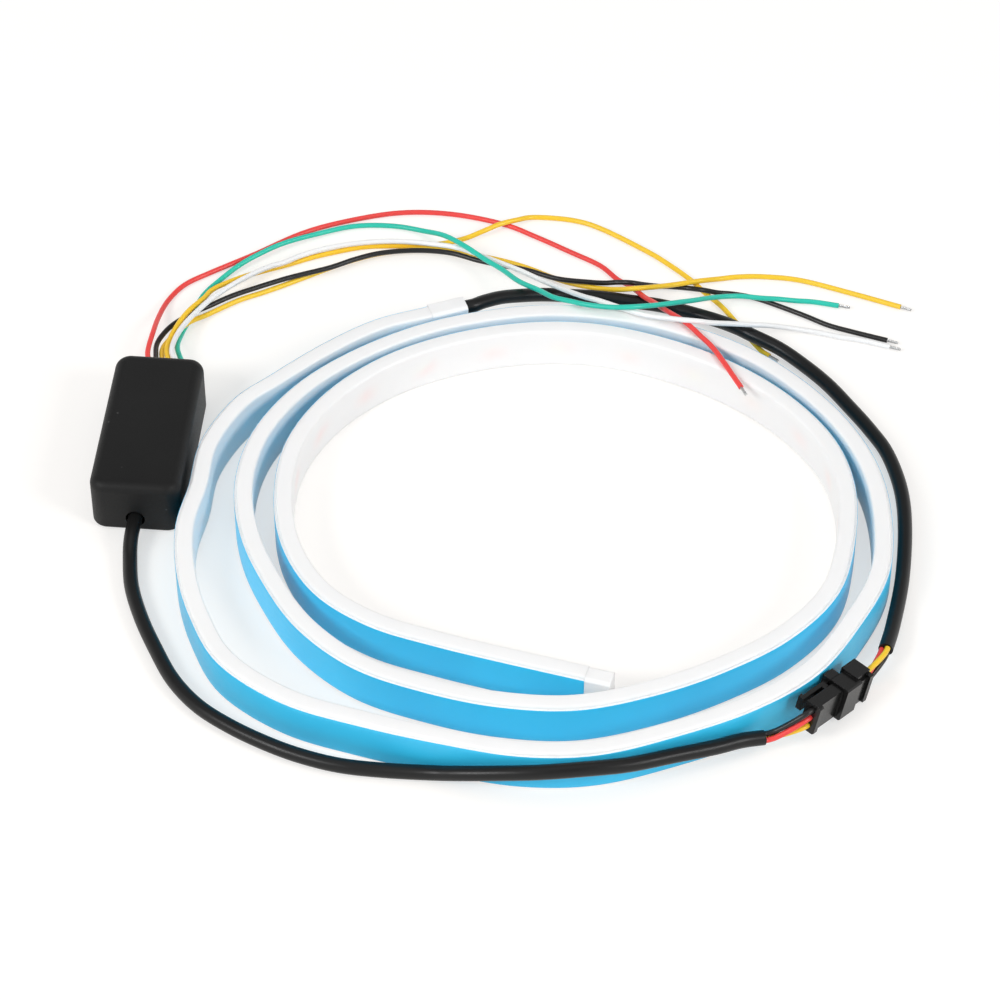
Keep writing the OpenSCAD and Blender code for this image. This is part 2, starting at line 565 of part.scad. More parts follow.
module receptacle_housing() {
  color([0.1, 0.1, 0.1]) in_conn() difference() {
    union() {
      translate([fit, 0, 0]) along_x(shroud_l - fit)
        bevelled_section(-shroud_t / 2, shroud_t / 2, -shroud_h / 2, shroud_h / 2, 0.4);
      block(shroud_l - 0.2, conn_back, -plug_t / 2, plug_t / 2, flange_low, -flange_low);
      block(conn_back - flange_t, conn_back, -shroud_t / 2, shroud_t / 2, flange_low, flange_low + flange_h);
      block(fit, 3.8, shroud_t / 2 - 0.2, lever_y + lever_t + fit + rim_t,
        lever_low - fit - rim_t, lever_low + lever_w + fit + rim_t);
      block(shroud_l - 0.9, conn_back - 0.4, -1.6, shroud_t / 2 + 0.4, 2.6, shroud_h / 2 + 0.7);
    }
    block(fit - past, web_front, -nose_t / 2 - fit, nose_t / 2 + fit, -nose_h / 2 - fit, nose_h / 2 + fit);
    block(fit - past, 3.8 + past / 2, lever_y - fit, lever_y + lever_t + fit,
      lever_low - fit, lever_low + lever_w + fit);
    row_of_bores(web_front - past, pin_back, pin_d + 0.04);
    row_of_bores(pin_back - 0.4, conn_back + past, core_d + 2 * fit);
  }
}

module female_contacts() {
  color("goldenrod") in_conn() difference() {
    row_of_bores(contact_back, contact_front, socket_d);
    row_of_bores(pin_front - 0.3, contact_front + past, pin_d + 0.1);
  }
}

module male_contacts() {
  color("goldenrod") in_conn() row_of_bores(pin_front, pin_back - 0.4, pin_d);
}

// Places of the three cores in a sheath's end, seen along the sheath
core_ring = core_d / sqrt(3) + 0.1;
core_step = 120;
plug_core_turn = 2;
socket_core_turn = 0;
inner_core_turn = 90;
inner_core_x = 2.4;
function in_sheath(p, h, a) = let (u = unit([h[1], -h[0], 0]), v = cross(u, h))
  p + core_ring * (cos(a) * u + sin(a) * v);

// Curve from a to b that leaves along ta and arrives along tb
function bow(a, ta, b, tb, n) = [for (i = [0 : n]) let (t = i / n)
  (2 * pow(t, 3) - 3 * pow(t, 2) + 1) * a + (pow(t, 3) - 2 * pow(t, 2) + t) * ta
  + (3 * pow(t, 2) - 2 * pow(t, 3)) * b + (pow(t, 3) - pow(t, 2)) * tb];

// Route of a core from a sheath's end, at an angle round it, to its place in the plug pair
function core_way(cable, a, side, mouth, seat) = let (p = smooth(cable, cord_samples),
  h = heading(p, len(p) - 1), s = in_sheath(last(p), h, a) + 2 * fit * h, d = 0.6 * norm(mouth - s))
  concat([s], bow(s + 0.6 * h, d * h, mouth, d * side * unit(conn_point(1, 0, 0) - conn_point(0, 0, 0)), 5),
    [(mouth + seat) / 2, seat]);
function plug_core_way(a, z) = core_way(cable_controller_way(), a, 1,
  conn_point(-plug_l - 0.6, 0, z), conn_point(contact_back - fit, 0, z));
function socket_core_way(a, z) = core_way(cable_strip_way(), a, -1,
  conn_point(conn_back + 0.6, 0, z), conn_point(pin_back - 0.4 + fit, 0, z));

module plug_core_black() {
  color("black") cord(plug_core_way(plug_core_turn + core_step, pitch), core_d);
}
module plug_core_red() { color("red") cord(plug_core_way(plug_core_turn, 0), core_d); }
module plug_core_yellow() {
  color("gold") cord(plug_core_way(plug_core_turn - core_step, -pitch), core_d);
}
module socket_core_yellow() {
  color("gold") cord(socket_core_way(socket_core_turn + core_step, pitch), core_d);
}
module socket_core_red() { color("red") cord(socket_core_way(socket_core_turn, 0), core_d); }
module socket_core_black() {
  color("black") cord(socket_core_way(socket_core_turn - core_step, -pitch), core_d);
}

// Route of a core from the controller cable's start to the board
function inner_core_way(a, x) = let (w = cable_controller_way(), s = w[0], h = unit(w[0] - w[1]),
  q = in_sheath(s, h, a) + 2 * fit * h, m = box_point(x, pcb_front, pcb_top + core_d / 2 + 0.03),
  d = 0.6 * norm(m - q), side = unit(box_point(0, 1, 0) - box_point(0, 0, 0)))
  concat([q], bow(q + 0.6 * h, d * h, m, d * side, 3), [m + 2 * side]);

module inner_core_black() { color("black") cord(inner_core_way(inner_core_turn, 0), core_d); }
module inner_core_red() {
  color("red") cord(inner_core_way(inner_core_turn - core_step, inner_core_x), core_d);
}
module inner_core_yellow() {
  color("gold") cord(inner_core_way(inner_core_turn + core_step, -inner_core_x), core_d);
}

strip_sleeve();
strip_board();
strip_lights();
strip_driver_chips();
strip_resistors();
foam_tape();
release_liner();
cable_end_cap();
tail_end_cap();
controller_cover();
controller_plate();
controller_board();
controller_processor();
controller_switches();
controller_regulator();
controller_capacitor();
controller_resistors();
inner_core_black();
inner_core_red();
inner_core_yellow();
lead_red();
lead_green();
lead_white();
lead_black();
lead_yellow_left();
lead_yellow_right();
tip_red();
tip_green();
tip_white();
tip_black();
tip_yellow_left();
tip_yellow_right();
cable_controller();
cable_strip();
plug_core_black();
plug_core_red();
plug_core_yellow();
socket_core_yellow();
socket_core_red();
socket_core_black();
plug_housing();
receptacle_housing();
female_contacts();
male_contacts();
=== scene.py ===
"""Looks of a flexible trunk light strip with its controller, cables, plug pair and bare leads.

All sizes are in millimetres, as in the part's source, and become metres in to_metres().
"""

import math

import bmesh
import bpy
from mathutils import Matrix, Vector


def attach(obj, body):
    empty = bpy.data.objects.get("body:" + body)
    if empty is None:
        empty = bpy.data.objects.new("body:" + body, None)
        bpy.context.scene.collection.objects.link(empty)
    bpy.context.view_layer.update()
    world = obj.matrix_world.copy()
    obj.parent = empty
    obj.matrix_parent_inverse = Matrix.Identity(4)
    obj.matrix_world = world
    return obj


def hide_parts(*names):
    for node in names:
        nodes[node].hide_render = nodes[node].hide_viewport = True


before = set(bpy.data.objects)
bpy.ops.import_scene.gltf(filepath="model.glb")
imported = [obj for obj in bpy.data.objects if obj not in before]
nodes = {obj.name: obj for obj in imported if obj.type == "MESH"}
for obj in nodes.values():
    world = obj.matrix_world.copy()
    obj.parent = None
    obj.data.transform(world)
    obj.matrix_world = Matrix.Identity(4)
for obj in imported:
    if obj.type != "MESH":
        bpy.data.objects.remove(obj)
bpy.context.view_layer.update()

MM = 0.001

# Sizes and places that the looks share with the CAD model
SHIFT = (2.5, 15.94)
FIT = 0.1

# Strip
STRIP_W = 12.0
SLEEVE_T = 4.2
TAPE_T = 0.5
LINER_T = 0.2
TAPE_MARGIN = 0.8
TAPE_LOW = 0.4
TAPE_HIGH = STRIP_W - TAPE_MARGIN
STRIP_T = SLEEVE_T + TAPE_T + LINER_T
INNER_FACE = -STRIP_T / 2
SLEEVE_OUT = INNER_FACE + SLEEVE_T
TAPE_OUT = SLEEVE_OUT + TAPE_T
STRIP_SAMPLES = 3

# Cable cap
CAP_L = 10.0
CAP_BORE_L = 3.0
CAP_BORE_Z = 9.5
CAP_BORE_SHIFT = 0.5
CAP_RUN = (CAP_BORE_L, -0.6, -2.6)

# Controller
BOX_AT = (-89.7, 13.6)
BOX_TURN = -5.0
BOX_L = 49.0
BOX_W = 23.0
BOX_H = 15.4
BOX_R = 4.0
BOX_EDGE_R = 2.6
BOX_FOOT_R = 1.2
BOX_WALL = 1.8
ROOM_L = BOX_L - 2 * BOX_WALL
ROOM_W = BOX_W - 2 * BOX_WALL
ROOM_R = BOX_R - BOX_WALL
ROOM_BEVEL = 1.0
PLATE_T = 1.5
RIB_H = 1.9
PCB_T = 1.6
PCB_TOP = PLATE_T + RIB_H + PCB_T
PCB_L = ROOM_L - 10
PCB_FRONT = ROOM_L / 2 - 1.5 - PCB_L
HOLE_Z = 4.2
LEAD_Z = 5.8
LEAD_STEP = 1.6
LEAD_MID = 0.8
SLOT_GAP = 0.15

# Cords
CABLE_D = 3.7
CABLE_IN_L = 6.0
LEAD_D = 1.4
CORE_D = 1.4
TIP_D = 0.8
TIP_L = 3.0
CORD_SAMPLES = 2
HOLE_D = CABLE_D + 1.2

# Plug pair
CONN_AT = (80.3, -73.6)
CONN_TURN = 49.0
CONN_ROLL = 4.0
CONN_PITCH = 12.0
PLUG_L = 10.0
PLUG_H = 8.4
SHROUD_L = 6.0
SHROUD_T = 5.8
SHROUD_H = 9.6
TAIL_BLOCK_L = 4.8
PITCH = 2.5
CONTACT_BACK = -PLUG_L + 3.5
PIN_BACK = SHROUD_L + 1
PIN_SEAT = PIN_BACK - 0.4
CONN_BACK = SHROUD_L + TAIL_BLOCK_L
FLANGE_LOW = -PLUG_H / 2 + 0.3

# Cores: their places round a sheath's axis in degrees, and their runs
CORE_STEP = 120
PLUG_CORE_TURN = 2
SOCKET_CORE_TURN = 0
INNER_CORE_TURN = 90
INNER_CORE_X = 2.4
CORE_RING = CORE_D / math.sqrt(3) + FIT
CORE_STRAIGHT = 0.6
CORE_PULL = 0.6
SOLDER_GAP = 0.03
SOLDER_L = 2.0

# Sizes that only the looks have
FILM_T = 0.06
FILM_GAP = 0.01
FILM_R = 0.025
TAPE_R = 0.06
SLEEVE_R = 0.6
SLEEVE_SAMPLES = 8
TAPE_SAMPLES = 6
SIDE_STEPS = 10
FACE_TOLERANCE = 0.02
CAP_ROUNDING = 0.35
PLUG_ROUNDING = 0.16
PLATE_ROUNDING = 0.2
WELD = 0.01
FLAT_ANGLE = 2
EDGE_ANGLE = 35
CORD_STEPS = 6
STRANDS = 6
STRAND_SWELL = 1.08
STRAND_SHORT = 0.02
STRAND_STEPS = 12
STRAND_TWIST = 150
CUT_PAST = 1.0

# Warm tint over each light source: its strength, and its reach along and up the strip
TINT = 0.6
TINT_REACH = 3.4
TINT_RISE = 2.6

# Camera, with its focal length and the photograph's side in pixels
SENSOR_W = 36.0
FOCAL_PX = 3930
PHOTO_PX = 1000
CAMERA_DISTANCE = 1000.0
CAMERA_RISE = 45.5

# Middle line of the strip from the cable cap to the tail
STRIP_WAY = [
    (-18.5, 58.2), (-32, 53.1), (-45, 44.1), (-58, 32.5), (-67, 23.5), (-74, 9), (-76, -6),
    (-78.5, -20), (-77.5, -35), (-73.5, -50), (-66, -65), (-51, -77), (-33, -84), (-14, -89.5),
    (5, -93.5), (23, -93), (42, -87), (60, -79), (75, -68), (86, -52), (93.5, -36), (95.5, -19),
    (94, -2), (88.5, 13.5), (79, 28), (66, 41), (50, 50.5), (33, 56.5), (14, 58.8), (-4, 56.5),
    (-21, 51), (-38, 41), (-51.5, 28.5), (-61, 12.5), (-64.5, -5), (-62.5, -22), (-56.5, -38),
    (-47.5, -53.5), (-34, -66), (-17, -73.5), (0, -78), (18, -79), (36, -74.5), (53, -67),
    (69, -56.5), (81, -42), (86, -24), (87, -6), (83, 10), (73, 25), (59.5, 37), (43, 46),
    (25, 51.5), (7, 52), (-12, 47.8), (-29, 39.5), (-43, 26.5), (-52, 10), (-54.5, -8),
    (-52, -26), (-44, -41.5), (-31, -52), (-15, -58.5), (2, -64), (20.8, -69.7),
]

# Routes of the leads and of the two cables
LEAD_WAYS = {
    "red": [
        (-91.3, 32, 5.8), (-90.9, 38, 5.8), (-91.2, 43, 5.8), (-92.4, 49, 5.4), (-91.5, 58, 4.6),
        (-90.5, 67, 2.2), (-88.5, 74.5, 0.85), (-84.5, 80.5, 0.75), (-77.5, 85.5, 0.75),
        (-66.5, 92.5, 0.75), (-54, 101, 0.75), (-42, 106, 0.75), (-27.5, 109.5, 0.75),
        (-13.5, 109, 0.75), (0.5, 105, 0.75), (10, 99.5, 0.75), (19, 93.5, 0.75), (27, 88, 0.75),
        (31.5, 82.5, 0.8), (34.5, 79.5, 1.4), (36.5, 74.5, 3.8), (38.5, 70, 5.7),
        (41, 65.5, 7.8), (43, 61, 9.9), (45, 57, 11.8), (47.5, 53.5, 12.9), (49.5, 51, 13.1),
        (52, 47.5, 13), (56, 41.5, 12.85), (62, 28, 12.8),
    ],
    "green": [
        (-83.3, 31.3, 5.8), (-82.8, 37.5, 5.8), (-82.3, 43, 4.6), (-85, 53.5, 2.4),
        (-84.5, 60.5, 0.9), (-82.5, 67, 0.75), (-79.5, 76, 0.75), (-75, 82.5, 0.8),
        (-70, 87.5, 1.6), (-64.5, 91.5, 2.2), (-58.5, 95.5, 2.2), (-50, 100, 1.4),
        (-39.5, 104, 0.8), (-29, 104, 0.8), (-20.5, 101, 1.6), (-15, 96.5, 4), (-9.5, 90.5, 5.6),
        (-4, 85, 5.7), (0.5, 80.5, 6.2), (5, 74, 7.8), (10, 68.5, 9.8), (14, 63.5, 11.7),
        (18.5, 60.5, 13), (23, 58, 14), (28.5, 56.5, 14.6), (32.5, 56, 15), (37, 57, 14.4),
        (42, 60, 12.2), (46.5, 62.5, 10.7), (51, 66, 8.2), (55.5, 70, 5.4), (60, 73, 3.2),
        (64.5, 74, 2.4), (70, 73, 2.6), (74, 73, 2.3), (79, 73.5, 1.2), (84, 73.5, 0.75),
        (90.5, 72, 0.75),
    ],
    "white": [
        (-84.9, 31.4, 5.8), (-84.4, 37.7, 5.8), (-84.3, 43, 6), (-86, 48.5, 5.9),
        (-85.5, 54.5, 5.2), (-83.5, 60.5, 4.6), (-80.5, 66, 4.2), (-76, 72.5, 3.8),
        (-70, 78.5, 3.7), (-63, 84.5, 3), (-58, 87.5, 2.4), (-53.5, 90.5, 2.2), (-46, 93.5, 2.3),
        (-37, 95.5, 2.3), (-27.5, 95.5, 2.8), (-18, 93.5, 3.6), (-11, 91.5, 3.9), (-4, 88, 3.8),
        (5, 83, 3.7), (10.5, 78.5, 4.4), (15, 73, 6.8), (19, 68.5, 8.8), (22.5, 64.5, 10.8),
        (26, 61.5, 12.3), (29.5, 59, 13), (34.5, 56.5, 13.1), (39, 54.5, 13.3), (43, 53, 14),
        (47.5, 51.5, 14.7), (51.5, 51.5, 14.2), (55.5, 53, 12.2), (60.5, 55.5, 9.6),
        (65.5, 57.5, 7.4), (71, 59.5, 5.2), (77, 61, 2.8), (83.5, 61.5, 1), (89.5, 60, 0.75),
        (96, 58.5, 0.75), (103, 56, 0.75),
    ],
    "black": [
        (-89.7, 31.9, 5.8), (-89.2, 38.1, 5.8), (-89.8, 44, 5), (-90.4, 50, 3.9),
        (-90.5, 54, 3.2), (-89.5, 57.5, 3), (-87, 62, 2.8), (-82.5, 67, 2.3), (-77.5, 70.5, 2.1),
        (-72, 74, 2.3), (-66, 77, 2.4), (-56.5, 81.5, 2.3), (-46, 85.5, 2.2), (-39, 89, 2.2),
        (-32, 91.5, 2.2), (-22.5, 92.5, 2.2), (-13.5, 91.5, 2.2), (-6, 88.5, 2.2),
        (0.5, 86.5, 2.2), (7.5, 84.5, 2.2), (15.5, 81, 2.3), (24, 79.5, 2.45), (28, 79, 2.6),
        (31.5, 78.5, 3.3), (35, 77.5, 4.1), (38.5, 78.5, 2.5), (42.5, 79.5, 1),
        (46.5, 79.5, 0.75), (51, 78.5, 1.1), (54.5, 76.5, 2.3), (58.5, 76, 1.8), (63, 76.5, 0.8),
        (69.5, 74.5, 0.75), (80.5, 68.5, 0.75), (87, 64.5, 0.75), (93, 62, 0.75),
        (102.5, 58.5, 0.75),
    ],
    "yellow_left": [
        (-86.5, 31.6, 5.8), (-86, 37.8, 5.8), (-86.2, 43, 5.6), (-87.5, 50, 4.9), (-87, 55, 4.4),
        (-85, 61.5, 4.2), (-82.5, 67, 3.8), (-79, 72.5, 3.1), (-76.5, 77, 2.4), (-70, 81.5, 2.1),
        (-63, 85.5, 1.3), (-58, 88, 0.8), (-51.5, 91, 0.75), (-46, 93, 0.75), (-37, 95.5, 0.75),
        (-27.5, 96, 0.75), (-17.5, 96.5, 0.75), (-10, 98.5, 1), (-4.5, 100.5, 2.1),
        (0, 103, 2.4), (4.5, 105, 2.1), (9.5, 107.5, 0.9), (19.5, 106.5, 0.75),
        (27.5, 103, 0.75), (39.5, 94, 0.75), (45.5, 88.5, 0.75), (51.5, 82, 0.75),
        (55, 77, 0.75), (59, 72, 0.75), (62.5, 66, 0.75), (66, 59.5, 0.75), (69, 54.5, 0.75),
        (71, 52.5, 0.75),
    ],
    "yellow_right": [
        (-88.1, 31.7, 5.8), (-87.6, 38, 5.8), (-87.9, 43, 4.8), (-89, 52, 2.8), (-87.5, 57, 2.2),
        (-84.5, 61.5, 2.3), (-82, 64.5, 2.1), (-78, 68, 1.2), (-70, 74, 0.8), (-63, 77.5, 0.75),
        (-56.5, 81, 0.75), (-46, 87, 0.75), (-39, 90.5, 0.75), (-32, 93, 0.75),
        (-23, 94.5, 0.75), (-16.5, 94.5, 0.75), (-8, 92.5, 0.75), (0.5, 90, 0.75),
        (7.5, 87, 0.75), (15.5, 82.5, 0.75), (21.5, 80, 0.85), (27, 78, 1.5), (31.5, 75, 3.9),
        (36, 73, 6.1), (41.5, 75.5, 4.4), (47, 78.5, 2.5), (52, 79.5, 2.6), (55, 80.5, 2.2),
        (59, 82.5, 0.9), (64.5, 83.5, 0.75), (71.5, 83.5, 0.75), (81, 82, 0.75), (94, 77, 0.75),
        (107, 71.5, 0.75),
    ],
}
CONTROLLER_CABLE_WAY = [
    (-92.5, -17, 3.8), (-92.5, -22.5, 2.4), (-91.5, -32, 1.95), (-88.5, -42.5, 1.95),
    (-84.5, -52.5, 1.95), (-79.5, -63, 1.95), (-73, -71.5, 1.95), (-65, -78, 1.95),
    (-56, -83.5, 1.95), (-47.5, -87.5, 1.95), (-38, -90.5, 1.95), (-27.5, -92, 1.95),
    (-16.5, -93.5, 2.8), (-9.5, -95.5, 4.9), (0, -97.5, 7.3), (9.5, -98.5, 8.8), (20, -98, 9.4),
    (30.5, -96, 8.7), (41.5, -92, 7.4), (51, -88.5, 6.2), (57.5, -85.5, 5.2), (63, -84, 4.6),
]
STRIP_CABLE_WAY = [
    (-4, 64.8, 9), (0.5, 67.9, 7.6), (6, 71, 5.4), (12, 73.5, 3.4), (19, 74.5, 2.1),
    (26.5, 74, 1.95), (34.5, 72.5, 1.95), (42, 71, 1.95), (48, 69, 1.95), (57, 64.5, 2.6),
    (62.5, 60.5, 3.5), (66.5, 57.5, 3.6), (73.5, 53.5, 2.6), (79.5, 48, 1.95),
    (85.5, 40.5, 1.95), (91, 31.5, 1.95), (95.5, 23.5, 1.95), (99.5, 14.5, 1.95),
    (102, 1.5, 1.95), (102, -12.5, 1.95), (100, -30, 2.2), (96.5, -46.5, 3.5), (94, -55.5, 4.5),
]


def placed(way):
    """A route's points after the shift that the CAD model makes, still in millimetres."""
    return [Vector((p[0] + SHIFT[0], p[1] + SHIFT[1], p[2] if len(p) > 2 else 0.0)) for p in way]


def to_metres(point):
    return Vector(point) * MM


def with_ends(points):
    """The points with one more past each end, in line with the two before it."""
    return [2 * points[0] - points[1], *points, 2 * points[-1] - points[-2]]


def smooth_way(points, samples):
    """The same smooth curve through all points that the CAD model uses."""
    ends = with_ends(points)
    way = []
    for a, b, c, d in zip(ends, ends[1:], ends[2:], ends[3:]):
        for k in range(samples):
            t = k / samples
            way.append((2 * b + (c - a) * t + (2 * a - 5 * b + 4 * c - d) * t * t
                        + (3 * b - a - 3 * c + d) * t ** 3) / 2)
    way.append(points[-1])
    return way


def headings(way):
    """Direction at each point of a way."""
    last = len(way) - 1
    return [(way[min(i + 1, last)] - way[max(i - 1, 0)]).normalized() for i in range(last + 1)]


# Node trees

def new_material(name):
    """A material, its node tree and its output, with no other node."""
    material = bpy.data.materials.new(name)
    material.use_nodes = True
    tree = material.node_tree
    tree.nodes.clear()
    return material, tree, tree.nodes.new("ShaderNodeOutputMaterial")


def new_surface(name):
    """A material with one main shader, its node tree and that shader."""
    material, tree, output = new_material(name)
    shader = tree.nodes.new("ShaderNodeBsdfPrincipled")
    tree.links.new(shader.outputs["BSDF"], output.inputs["Surface"])
    return material, tree, shader


def set_inputs(node, values):
    for name, value in values.items():
        node.inputs[name].default_value = value


def add_noise(tree, per_metre, detail=4.0, stretch=(1, 1, 1)):
    """Noise in the object's own coordinates. per_metre is about how many grains fit in a metre."""
    coords = tree.nodes.new("ShaderNodeTexCoord")
    mapping = tree.nodes.new("ShaderNodeMapping")
    noise = tree.nodes.new("ShaderNodeTexNoise")
    set_inputs(mapping, {"Scale": stretch})
    set_inputs(noise, {"Scale": per_metre, "Detail": detail, "Roughness": 0.55})
    tree.links.new(coords.outputs["Object"], mapping.inputs["Vector"])
    tree.links.new(mapping.outputs["Vector"], noise.inputs["Vector"])
    return noise.outputs["Fac"]


def add_cells(tree, per_metre):
    """Distance to the nearest of many scattered points, in the object's own coordinates."""
    coords = tree.nodes.new("ShaderNodeTexCoord")
    cells = tree.nodes.new("ShaderNodeTexVoronoi")
    set_inputs(cells, {"Scale": per_metre})
    tree.links.new(coords.outputs["Object"], cells.inputs["Vector"])
    return cells.outputs["Distance"]


def add_ramp(tree, source, stops):
    """Colour ramp on a value. stops are (position, colour) pairs."""
    ramp = tree.nodes.new("ShaderNodeValToRGB")
    elements = ramp.color_ramp.elements
    while len(elements) < len(stops):
        elements.new(0.5)
    for element, (position, colour) in zip(elements, stops):
        element.position = position
        element.color = (*colour, 1)
    tree.links.new(source, ramp.inputs["Fac"])
    return ramp.outputs["Color"]


def add_patches(tree, per_metre, colour, darker, lighter, detail=4.0):
    """Slow patches of a colour, between shades that are darker and lighter by these shares."""
    dark = [c * (1 - darker) for c in colour]
    light = [min(c * (1 + lighter), 1) for c in colour]
    return add_ramp(tree, add_noise(tree, per_metre, detail), [(0.3, dark), (0.7, light)])


def add_range(tree, source, low, high):
    """The middle part of a noise, stretched to run from low to high."""
    ranger = tree.nodes.new("ShaderNodeMapRange")
    set_inputs(ranger, {"From Min": 0.3, "From Max": 0.7, "To Min": low, "To Max": high})
    tree.links.new(source, ranger.inputs["Value"])
    return ranger.outputs["Result"]


def add_bump(tree, shader, source, height_mm, strength=1.0):
    bump = tree.nodes.new("ShaderNodeBump")
    set_inputs(bump, {"Strength": strength, "Distance": height_mm * MM})
    tree.links.new(source, bump.inputs["Height"])
    tree.links.new(bump.outputs["Normal"], shader.inputs["Normal"])


def add_grain(tree, shader, per_metre, roughness, spread, bump_mm, detail=6.0):
    """Fine grain that shows in the gloss and in the relief."""
    fine = add_noise(tree, per_metre, detail)
    gloss = add_range(tree, fine, roughness - spread, roughness + spread)
    tree.links.new(gloss, shader.inputs["Roughness"])
    add_bump(tree, shader, fine, bump_mm)


def add_mix(tree, factor, first, second):
    """Mix of two colours. Each is a socket, or the three values of a plain colour."""
    mix = tree.nodes.new("ShaderNodeMix")
    mix.data_type = "RGBA"
    tree.links.new(factor, mix.inputs["Factor"])
    for name, colour in (("A", first), ("B", second)):
        if isinstance(colour, tuple):
            mix.inputs[name].default_value = (*colour, 1)
        else:
            tree.links.new(colour, mix.inputs[name])
    return mix.outputs["Result"]


def scatter_light(shader, weight):
    """Lets light a little way into the surface, as silicone does."""
    set_inputs(shader, {"Subsurface Weight": weight, "Subsurface Radius": (1.0, 0.95, 0.9),
                        "Subsurface Scale": 1.5 * MM})


# Finishes

# Colours, as linear values
WHITE_SILICONE = (0.95, 0.95, 0.95)
LINER_BLUE = (0.04, 0.6, 0.98)
BOX_BLACK = (0.007, 0.007, 0.007)
JACKET_BLACK = (0.007, 0.007, 0.007)
PLUG_BLACK = (0.005, 0.005, 0.005)
DUST_GREY = (0.075, 0.075, 0.075)
WIRE_COLOURS = {"red": (0.88, 0.06, 0.055), "green": (0.02, 0.58, 0.44),
                "white": (0.94, 0.94, 0.94), "black": (0.008, 0.007, 0.007),
                "yellow": (0.98, 0.62, 0.03)}
WIRE_VARIATION = {"red": 0.05, "green": 0.06, "white": 0.02, "black": 0.12, "yellow": 0.03}

# What the sleeve's white and its light-giving face have in common
SILICONE_GRAIN = 1400
SILICONE_BUMP = 0.006
SILICONE_SPECULAR = 0.4
SILICONE_SCATTER = 0.25


def plain_finish(name, colour, roughness, variation=0.06, grain=900, patch=60, bump=0.01,
                 spread=0.06, metallic=0.0, specular=0.5, coat=0.0, subsurface=0.0):
    """A moulded or drawn surface: slow patches in the colour, grain in the gloss and relief."""
    material, tree, shader = new_surface(name)
    patches = add_patches(tree, patch, colour, variation, variation)
    tree.links.new(patches, shader.inputs["Base Color"])
    add_grain(tree, shader, grain, roughness, spread, bump)
    set_inputs(shader, {"Metallic": metallic, "Specular IOR Level": specular,
                        "Coat Weight": coat, "Coat Roughness": 0.25})
    if subsurface:
        scatter_light(shader, subsurface)
    return material


def light_face_finish():
    """The sleeve's light-giving face: white silicone with warm tints over the light sources."""
    material, tree, shader = new_surface("silicone_face")
    near_light = tree.nodes.new("ShaderNodeAttribute")
    near_light.attribute_name = "light_tint"
    warm = add_ramp(tree, add_noise(tree, 45, detail=1), [
        (0.36, (0.98, 0.97, 0.90)), (0.48, (1.0, 0.86, 0.84)),
        (0.6, (0.99, 0.80, 0.79)), (0.7, (0.97, 0.95, 0.90))])
    colour = add_mix(tree, near_light.outputs["Fac"], WHITE_SILICONE, warm)
    tree.links.new(colour, shader.inputs["Base Color"])
    add_grain(tree, shader, SILICONE_GRAIN, 0.44, 0.06, SILICONE_BUMP)
    set_inputs(shader, {"Specular IOR Level": SILICONE_SPECULAR})
    scatter_light(shader, SILICONE_SCATTER)
    return material


def foam_finish():
    """Closed-cell foam: small cells in the relief, with painted shade that darkens the colour in
    each cell's hollow.
    """
    material, tree, shader = new_surface("foam")
    cells = add_cells(tree, 2600)
    # Painted shade: the colour is darkest at the middle of each cell, where the bump makes a dip,
    # and lighter towards its rim
    colour = add_ramp(tree, cells, [(0.0, (0.80, 0.83, 0.86)), (0.6, (0.90, 0.92, 0.94))])
    tree.links.new(colour, shader.inputs["Base Color"])
    set_inputs(shader, {"Roughness": 0.85})
    add_bump(tree, shader, cells, 0.03)
    return material


def liner_finish():
    """Thin satin film: a slow change of tone, fine rub marks, faint upright ripples."""
    material, tree, shader = new_surface("liner")
    tone = add_patches(tree, 35, LINER_BLUE, 0.07, 0.06, detail=2)
    tree.links.new(tone, shader.inputs["Base Color"])
    marks = add_noise(tree, 500, detail=5, stretch=(1, 1, 6))
    tree.links.new(add_range(tree, marks, 0.3, 0.45), shader.inputs["Roughness"])
    ripples = add_noise(tree, 90, detail=3, stretch=(1, 1, 0.35))
    add_bump(tree, shader, ripples, 0.12, strength=0.6)
    set_inputs(shader, {"Specular IOR Level": 0.45})
    return material


def box_finish():
    """Soft matt moulding with a fine texture and a few dust specks."""
    material, tree, shader = new_surface("box_plastic")
    body = add_patches(tree, 70, BOX_BLACK, 0.1, 0.12, detail=3)
    dust = add_ramp(tree, add_cells(tree, 130), [
        (0.0, (1, 1, 1)), (0.03, (0.4, 0.4, 0.4)), (0.05, (0, 0, 0))])
    tree.links.new(add_mix(tree, dust, body, DUST_GREY), shader.inputs["Base Color"])
    add_grain(tree, shader, 2600, 0.53, 0.07, 0.02, detail=5)
    set_inputs(shader, {"Specular IOR Level": 0.25})
    return material


silicone = plain_finish("silicone", WHITE_SILICONE, 0.42, variation=0.012, grain=SILICONE_GRAIN,
                        bump=SILICONE_BUMP, specular=SILICONE_SPECULAR,
                        subsurface=SILICONE_SCATTER)
light_face = light_face_finish()
foam = foam_finish()
liner = liner_finish()
box_plastic = box_finish()
jacket = plain_finish("jacket", JACKET_BLACK, 0.38, variation=0.15, grain=1500, bump=0.004,
                      spread=0.04, specular=0.33)
wires = {name: plain_finish("wire_" + name, colour, 0.36, variation=WIRE_VARIATION[name],
                            grain=1600, bump=0.006) for name, colour in WIRE_COLOURS.items()}
tinned = plain_finish("tinned", (0.62, 0.62, 0.62), 0.3, variation=0.1, grain=3000, metallic=1.0)
plug_plastic = plain_finish("plug_plastic", PLUG_BLACK, 0.24, variation=0.12, grain=2200,
                            bump=0.002, spread=0.03, specular=0.36)
contact = plain_finish("contact", (0.80, 0.55, 0.25), 0.28, grain=2600, bump=0.004, metallic=1.0)
flex_board = plain_finish("flex_board", (0.82, 0.80, 0.72), 0.4, variation=0.05, grain=1200)
light_source = plain_finish("light_source", (0.90, 0.78, 0.32), 0.25, variation=0.1, patch=500,
                            coat=0.5)
chip = plain_finish("chip", (0.02, 0.02, 0.02), 0.5, variation=0.15, grain=2000)
